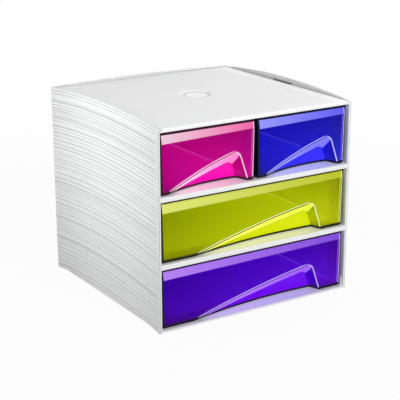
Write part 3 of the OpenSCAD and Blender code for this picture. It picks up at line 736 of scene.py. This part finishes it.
def drawer(name, node, centre_x, floor_z, width, recess, material):
    """One drawer, lofted from the rings that its columns of points make. In here x counts from
    its middle and z from its underside, and grow is 0 on the outer surface and the wall's
    thickness on the inner one."""
    deep, left, right = recess
    length = width - left - right
    x_start = left - width / 2
    far = 0.75 * length     # where along the recess its rear wall is furthest back
    plan_r = (far * far + deep * deep) / (2 * deep)     # the radius of that wall's curve
    cuts = {grow: recess_cut(length, grow) for grow in (0, WALL_T)}

    def cut_line(x, grow):
        """How high the recess's roof leaves the front."""
        return between(cuts[grow], x - x_start)

    def rear(x, grow):
        """How far back the recess's rear wall lies."""
        reach = (plan_r + grow) ** 2 - (x - x_start - far) ** 2
        return max(0.0, deep - plan_r + sqrt(max(0.0, reach)))

    def scoop(x, z, grow):
        """How far back the recess's surface lies behind the drawer front."""
        roof = (cut_line(x, grow) - z) / ROOF_FALL
        return soft_least(rear(x, grow), roof, ROOT_EASE)

    def lean(z):
        """How far the band leans back."""
        return BAND_LEAN * max(0.0, z - (DRAWER_H - BAND_H)) / BAND_H

    def half_width(z):
        return width / 2 - DRAFT * (1 - z / DRAWER_H)

    def place(column, z, inner):
        """Where a column crosses height z on the outer or inner surface, and the way inwards."""
        kind, at, _ = column
        grow = WALL_T if inner else 0
        half = half_width(z) - grow
        radius = INNER_UPRIGHT_R if inner else UPRIGHT_R
        face = DRAWER_Y0 + lean(z) + (FRONT_T if inner else 0)
        rear_face = DRAWER_Y1 - grow
        if kind == "front":
            return at, soft_most(face, DRAWER_Y0 + scoop(at, z, grow), CUT_EASE), (0, 1)
        if kind == "rear":
            return at, rear_face, (0, -1)
        if kind == "side":
            hand, y = at
            return hand * half, y, (-hand, 0)
        hand, turn = at
        if kind == "front corner":
            x, y = half - radius * (1 - sin(turn)), face + radius * (1 - cos(turn))
            return hand * x, y, (-hand * sin(turn), cos(turn))
        x, y = half - radius * (1 - cos(turn)), rear_face - radius * (1 - sin(turn))
        return hand * x, y, (-hand * cos(turn), -sin(turn))

    def foot_radius(column):
        kind, at, _ = column
        if kind == "side":
            return SIDE_FOOT_R
        if "corner" in kind:
            share = sin(at[1]) if kind == "front corner" else cos(at[1])
            return FRONT_FOOT_R + (SIDE_FOOT_R - FRONT_FOOT_R) * share
        return FRONT_FOOT_R

    def heights(column, inner):
        """Heights of the rows on a column, from the foot's rounding up to the rim's. They crowd
        at the recess's root and cut and at the foot of the band."""
        kind, at, top = column
        grow = WALL_T if inner else 0
        first = (FLOOR_T + FLOOR_EASE) if inner else foot_radius(column)
        last = top - (INNER_RIM_R if inner else RIM_R)
        # cut is where the recess's roof leaves the front, and root where it meets the rear wall
        cut = cut_line(at, grow) if kind == "front" else 0
        root = cut - ROOF_FALL * rear(at, grow) if kind == "front" else 0
        root = max(root, first + 1.6)
        cut = max(cut, root + 2.4)
        band = DRAWER_H - BAND_H
        ease_root = min(1.1, (root - first) * 0.45, (cut - root) * 0.3)
        ease_cut = min(0.7, (cut - root) * 0.3)
        rows = spaced(first, root - ease_root, 5)[:-1]
        rows += [root + ease_root * s for s in (-1, -0.6, -0.25, 0.1, 0.5, 1)]
        rows += spaced(root + ease_root, cut - ease_cut, 6)[1:-1]
        rows += [cut + ease_cut * s for s in (-1, -0.6, -0.3, 0, 0.3, 0.6, 1)]
        rows += spaced(cut + ease_cut, band - BAND_EASE, 6)[1:-1]
        rows += [band + BAND_EASE * s for s in (-1, -0.25, 0.25, 1)]
        rows += [band + BAND_EASE + (last - band - BAND_EASE) * s for s in (0.35, 0.7, 1)]
        return rows

    def ring_points(column):
        """A column's points, from under the drawer up its outside and down its inside."""

        def at(z, inner, inset=0.0):
            x, y, (nx, ny) = place(column, z, inner)
            return centre_x + x + nx * inset, y + ny * inset, floor_z + z

        turns = spaced(0, pi / 2, 5)
        foot, top = foot_radius(column), column[2]
        points = [at(foot * (1 - cos(a)), False, foot * (1 - sin(a))) for a in turns[:-1]]
        points += [at(z, False) for z in heights(column, False)]
        points += [at(top - RIM_R * (1 - sin(a)), False, RIM_R * (1 - cos(a))) for a in turns[1:]]
        points += [at(top - INNER_RIM_R * (1 - sin(a)), True, -INNER_RIM_R * (1 - cos(a)))
                   for a in reversed(turns[1:])]
        points += [at(z, True) for z in reversed(heights(column, True))]
        points += [at(FLOOR_T + FLOOR_EASE * (1 - cos(a)), True, FLOOR_EASE * (1 - sin(a)))
                   for a in reversed(turns[:-1])]
        return points

    columns = columns_round(half_width(0), x_start, length)
    strips = [ring_points(column) for column in columns]
    rings = [[strip[i] for strip in strips] for i in range(len(strips[0]))]
    piece = loft(name, rings, material)

    # The painted highlights and painted shade follow the recess's outline by this distance from it
    outline = np.array(cuts[0]) + (x_start, 0.0)
    apart = []
    for ring in rings:
        gaps = gaps_outside(np.array([(x - centre_x, z - floor_z) for x, _, z in ring]), outline)
        apart += [gap if column[0] == "front" else OFF_FRONT for column, gap in zip(columns, gaps)]
    piece.data.attributes.new("outside_recess", "FLOAT", "POINT").data.foreach_set("value", apart)
    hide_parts(node)
    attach(piece, node)
    return piece


def tinted(name, dye, shade_lines, centre_x, floor_z, width, recess):
    """Clear polystyrene with a dye in it. Light passes straight through the thin walls and takes
    the tint at each surface. Its edges carry painted shade, nearly black, the band and the recess's
    roof a painted reflection, some edges a painted highlight, and the body painted lighting and
    glow."""
    tint, body, bright_reflection, pale_reflection, deep = dye
    rim_line, left_line = shade_lines     # widths of the painted shade along the rim and the left edge
    recess_depth, _, recess_right = recess
    material, start = new_material(name)
    spot = start.node("ShaderNodeTexCoord", output=3)
    x, y, z = (1000 * part for part in parts(spot))
    nx, ny, nz = parts(start.node("ShaderNodeTexCoord", output=1))
    across = x - centre_x
    up = z - floor_z
    behind = y - DRAWER_Y0
    from_side = width / 2 - DRAFT + up * (DRAFT / DRAWER_H) - across.size()
    from_cut = start.node("ShaderNodeAttribute", {"attribute_name": "outside_recess"}, output=2)
    outward = under(ny, 0, 0.1)
    at_left, at_right = under(across, 0, 1), over(across, 0, 1)
    to_left = 0.5 - across * (1 / width)
    low_down = 1 - up * (1 / DRAWER_H)
    in_recess = under(from_cut, 0, 0.1) * under(behind, recess_depth + 3.5, 0.5)
    inside = over(behind, recess_depth + 4.5, 0.5)

    # Painted shade, nearly black: the front's outline, the rim, the foot and a line above the cut,
    # where the thickness is seen edge on
    at_front = under(behind, 7.5, 0.5)
    left_edge = under(from_side, left_line, 0.15) * at_left
    edges = left_edge.most(under(from_side, 1.05, 0.1)) * at_front
    rim = over(up, DRAWER_H - rim_line, 0.15) * at_front
    foot = under(up, 2.35 - 0.7 * in_recess, 0.15) * under(behind, 15.5, 0.5)
    foot *= under(nz, 0.6, 0.1)
    face = under(behind, 2.0, 0.2) * outward
    rising = under(across, width / 2 - recess_right - 13, 4)
    over_cut = within(from_cut, -0.6, 0.6, 0.12) * face * rising
    painted_shade = edges.most(rim).most(foot).most(over_cut)

    # Painted reflection on the band and the recess's roof, and painted highlights along the cut,
    # the right edge and the inner corners
    band_foot = DRAWER_H - 8.55 + across * (1.8 / width)
    band = over(up, band_foot, 0.15) * under(behind, 4.75, 0.25)
    beside_cut = within(from_cut, 0.8, 1.3, 0.12) * rising
    cut = face * beside_cut.most(within(from_cut, -0.25, 0.35, 0.1) * (1 - rising))
    roof = within(nz, -0.95, -0.5, 0.05) * outward * in_recess
    scoop = over(behind, 2.6, 0.4) * outward * in_recess * over(nz, -0.3, 0.1)
    right_line = within(from_side, 1.2, 1.7, 0.1) * at_right * under(behind, 2.75, 0.25)
    corner_highlights = within(nz, 0.3, 0.93, 0.05) * under(up, FLOOR_T + 1.25, 0.25)
    painted_highlights = cut.most(right_line).most(0.9 * corner_highlights) * (1 - edges)

    clouds = start.node("ShaderNodeTexNoise", None, {"Vector": spot, "Scale": 18.0, "Detail": 3.0})
    # Painted lighting: the body is shaded darker towards the top left and brighter towards the
    # bottom right
    painted_lighting = (0.55 - 0.45 * to_left + 0.60 * low_down).most(0.0).least(1.0)
    # Painted reflection across the front, pale at its left and brighter dye at its right
    reflection_across_front = mix(to_left, bright_reflection, pale_reflection)
    shade = mix(clouds * 0.15 + 0.8 * (1 - painted_lighting), body, [c * 0.3 for c in body])
    shade = mix(band, shade, reflection_across_front)
    shade = mix(roof, shade, reflection_across_front)
    shade = mix(painted_highlights, shade, [0.5 + 0.5 * c for c in pale_reflection])
    # Painted shade in the dye's nearly black colour
    shade = mix(painted_shade, shade, deep)

    # How solid each place looks, and a painted glow that the plastic gives out though it is no
    # lamp: inside, on faces that look up or sideways where the painted lighting is strong, on the
    # recess's roof and on the painted highlights
    solid = (0.10 + 0.28 * painted_lighting * painted_lighting).most(0.5 * inside).most(0.65 * scoop)
    solid = solid.most(0.85 * band).most(0.9 * roof).most(painted_highlights).most(painted_shade)
    facing = 0.06 + 0.30 * over(nz, 0.55, 0.25) + 0.16 * over(nx.size(), 0.55, 0.25)
    glow = (facing * inside * painted_lighting * painted_lighting).most(0.1 * scoop * painted_lighting)
    glow = glow.most(0.8 * roof).most(0.2 * painted_highlights) * (1 - painted_shade)

    grazing = start.node("ShaderNodeLayerWeight", None, {"Blend": 0.5}, output=1)
    square = grazing * grazing
    gloss = 0.04 + 0.9 * square * square * grazing
    smears = start.node("ShaderNodeTexNoise", None, {"Vector": spot, "Scale": 70.0, "Detail": 5.0})
    clear = start.node("ShaderNodeBsdfTransparent", None, {"Color": (*tint, 1.0)})
    surface = start.node("ShaderNodeBsdfPrincipled", None, {
        "Base Color": shade, "Roughness": 0.04 + 0.05 * smears + 0.15 * band, "IOR": 1.5,
        "Specular IOR Level": 0.15, "Emission Color": mix(glow, (0, 0, 0), shade),
        "Emission Strength": 1.0})
    share = 1 - (1 - solid) * (1 - gloss)
    both = start.node("ShaderNodeMixShader", None, {0: share, 1: clear, 2: surface})
    start.node("ShaderNodeOutputMaterial", None, {"Surface": both})
    return material


# Each dye: the tint that passes through, the plastic's own colour, its painted reflection at the
# right and at the left of a front, and its painted shade, nearly black
PINK = ((0.97, 0.48, 0.92), (0.90, 0.0, 0.50), (0.88, 0.11, 0.40), (0.88, 0.66, 0.76),
        (0.035, 0.0, 0.016))
BLUE = ((0.55, 0.52, 0.98), (0.045, 0.035, 0.90), (0.13, 0.11, 0.90), (0.34, 0.34, 1.0),
        (0.004, 0.003, 0.03))
YELLOW = ((0.96, 0.98, 0.50), (0.74, 0.82, 0.0), (0.52, 0.58, 0.02), (0.80, 0.85, 0.20),
          (0.012, 0.012, 0.0))
PURPLE = ((0.74, 0.48, 0.98), (0.20, 0.0, 0.88), (0.24, 0.08, 0.75), (0.54, 0.26, 1.0),
          (0.006, 0.0, 0.02))
DIVIDER_T = 1.0
FULL_W = 2 * (in_x - SIDE_GAP)
HALF_W = in_x - DIVIDER_T / 2 - 2 * SIDE_GAP
HALF_X = DIVIDER_T / 2 + SIDE_GAP + HALF_W / 2
BASE_TOP = 2.0
HALF_RECESS = (12.0, 7.5, 6.5)      # depth, and distances from the drawer's left and right side
FULL_RECESS = (10.5, 30.0, 22.0)

for name, x, stands_on, width, recess, slot, dye, shade_lines in (
    ("upper_left_drawer", -HALF_X, UPPER_SHELF_TOP, HALF_W, HALF_RECESS, "pink", PINK, (2.7, 2.8)),
    ("upper_right_drawer", HALF_X, UPPER_SHELF_TOP, HALF_W, HALF_RECESS, "blue", BLUE, (2.6, 2.0)),
    ("middle_drawer", 0.0, LOWER_SHELF_TOP, FULL_W, FULL_RECESS, "yellow", YELLOW, (2.2, 2.6)),
    ("bottom_drawer", 0.0, BASE_TOP, FULL_W, FULL_RECESS, "purple", PURPLE, (2.7, 2.9)),
):
    floor_z = stands_on + RUN_GAP
    plastic = tinted("tinted_clear_" + slot, dye, shade_lines, x, floor_z, width, recess)
    drawer(name + "_shell", name, x, floor_z, width, recess, plastic)


# ---- studio ----------------------------------------------------------------------------------
# A plain pale floor, which turns white away from the tower, and a plain white surround. Soft
# lamps light the tower: a small one close to its left side, larger ones at the front and above
# its right side, and a low one behind it.

def seen_directly(start):
    """1 for what the camera sees, straight or in gloss or through clear plastic."""
    path = start.node("ShaderNodeLightPath").socket.node.outputs
    camera_ray, glossy_ray, clear_ray = (
        Wire(start.tree, path[f"Is {kind} Ray"]) for kind in ("Camera", "Glossy", "Transmission"))
    return camera_ray.most(glossy_ray).most(clear_ray)


def stage_material(name, shade, glow):
    """A matt grey that looks nearly white. glow is the share of plain white near the tower, and
    it grows to 1 away from it."""
    material, start = new_material(name)
    spot = start.node("ShaderNodeTexCoord", output=3)
    mottle = start.node("ShaderNodeTexNoise", None, {"Vector": spot, "Scale": 3.0})
    colour = start.node("ShaderNodeValToRGB", {"stops": [
        (0.3, [shade * 0.99] * 3), (0.7, [shade] * 3)]}, {0: mottle})
    matt = start.node("ShaderNodeBsdfDiffuse", None, {"Color": colour})
    white = start.node("ShaderNodeEmission", None, {"Color": (1, 1, 1, 1), "Strength": 1.0})
    x, y, _ = parts(spot)
    away = glow + (1 - glow) * over((x * x + y * y).root(), 0.55, 0.35)
    surface = start.node("ShaderNodeMixShader", None,
                         {0: seen_directly(start) * away, 1: matt, 2: white})
    start.node("ShaderNodeOutputMaterial", None, {"Surface": surface})
    return material


FLOOR_HALF = 6000.0     # half the side of the floor
studio_floor = new_mesh("studio_floor", [
    (x * FLOOR_HALF, y * FLOOR_HALF, 0) for x, y in ((-1, -1), (1, -1), (1, 1), (-1, 1))],
    [(0, 1, 2, 3)])
studio_floor.data.materials.append(stage_material("pale_floor", 0.5, 0.96))

world = bpy.data.worlds.new("white_surround")
bpy.context.scene.world = world
world.use_nodes = True
world.node_tree.nodes.clear()
start = Wire(world.node_tree)
seen = seen_directly(start)
surround = start.node("ShaderNodeBackground", None,
                      {"Color": (1, 1, 1, 1), "Strength": 0.04 + 0.96 * seen})
start.node("ShaderNodeOutputWorld", None, {"Surface": surround})


def soft_lamp(name, place, target, width, height, power):
    """A rectangular lamp turned to its target, in metres and watts."""
    lamp = bpy.data.lights.new(name, "AREA")
    lamp.shape = "RECTANGLE"
    lamp.size, lamp.size_y, lamp.energy = width, height, power
    thing = bpy.data.objects.new(name, lamp)
    bpy.context.scene.collection.objects.link(thing)
    thing.location = place
    thing.rotation_euler = (Vector(target) - Vector(place)).to_track_quat("-Z", "Y").to_euler()


middle = (0, 0, 0.08)
soft_lamp("lamp_left", (-0.28, 0.0, 0.18), (-0.09, 0, 0.12), 0.15, 0.15, 0.45)
soft_lamp("lamp_front", (0.0, -0.95, 0.58), middle, 0.5, 0.5, 9.0)
soft_lamp("lamp_right", (0.45, 0.10, 0.70), (0, 0, 0.16), 0.4, 0.4, 3.0)
soft_lamp("lamp_back", (0.50, 0.85, 0.10), middle, 0.5, 0.08, 4.0)

# The camera looks from the front left and a little from above, at a slight roll
LENS, SENSOR_W = 105.47, 36.0
CAMERA_PLACE = (-0.50408, -0.80001, 0.36287)
AZIMUTH, ELEVATION, ROLL = radians(-32.375), radians(17.279), radians(-0.193)
camera = bpy.data.cameras.new("camera")
camera.lens, camera.sensor_width = LENS, SENSOR_W
camera.clip_start, camera.clip_end = 0.05, 50.0
camera_object = bpy.data.objects.new("camera", camera)
bpy.context.scene.collection.objects.link(camera_object)
back = Vector((sin(AZIMUTH) * cos(ELEVATION), -cos(AZIMUTH) * cos(ELEVATION), sin(ELEVATION)))
right = Vector((0, 0, 1)).cross(back).normalized()
up = back.cross(right)
turned = (right * cos(ROLL) + up * sin(ROLL), up * cos(ROLL) - right * sin(ROLL), back)
camera_object.matrix_world = (
    Matrix.Translation(CAMERA_PLACE) @ Matrix(turned).transposed().to_4x4())
bpy.context.scene.camera = camera_object
bpy.context.scene.view_settings.view_transform = "Standard"
